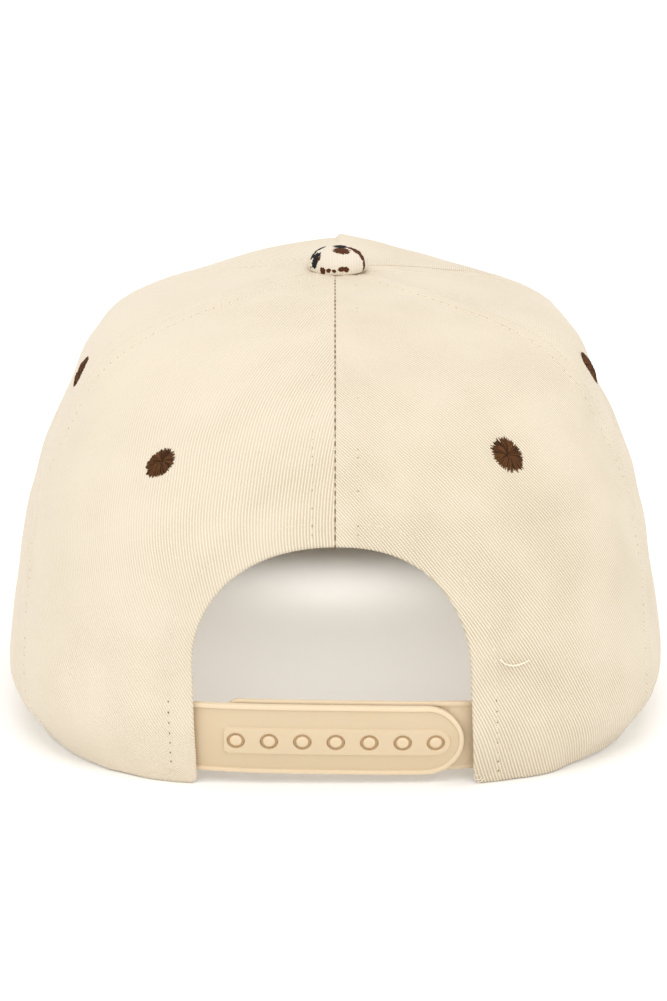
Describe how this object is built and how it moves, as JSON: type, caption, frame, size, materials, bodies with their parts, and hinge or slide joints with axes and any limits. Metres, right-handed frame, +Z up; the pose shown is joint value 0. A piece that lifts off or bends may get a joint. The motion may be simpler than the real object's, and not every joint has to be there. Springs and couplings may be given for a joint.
{
  "type": "trucker cap",
  "caption": "Five panel twill trucker cap with a curved peak, covered button, stitched eyelets, arched back opening and fastened snap strap.",
  "frame": {"origin": "on the table under the middle of the cap's box, halfway from the back of the crown to the tip of the peak", "axes": "+Y towards the tip of the peak, +Z up towards the button, +X to the wearer's right"},
  "size_m": [0.176, 0.2656, 0.1195],
  "materials": {
    "twill": "cream cotton twill, matte, fine diagonal wales",
    "button_cloth": "off-white ribbed cloth with a brown and black cow print",
    "eyelet_thread": "brown embroidery thread, soft sheen",
    "strap_plastic": "moulded soft plastic, satin tan",
    "band_cloth": "plain cream cotton band, matte"
  },
  "bodies": {
    "root": {"front_panel": "twill", "side_panel_left": "twill", "side_panel_right": "twill", "back_panel_left": "twill", "back_panel_right": "twill", "peak": "twill", "button": "button_cloth", "eyelet_side_left": "eyelet_thread", "eyelet_side_right": "eyelet_thread", "eyelet_back_left": "eyelet_thread", "eyelet_back_right": "eyelet_thread", "strap_outer": "strap_plastic", "strap_inner": "strap_plastic", "sweatband": "band_cloth"}
  },
  "joints": []
}
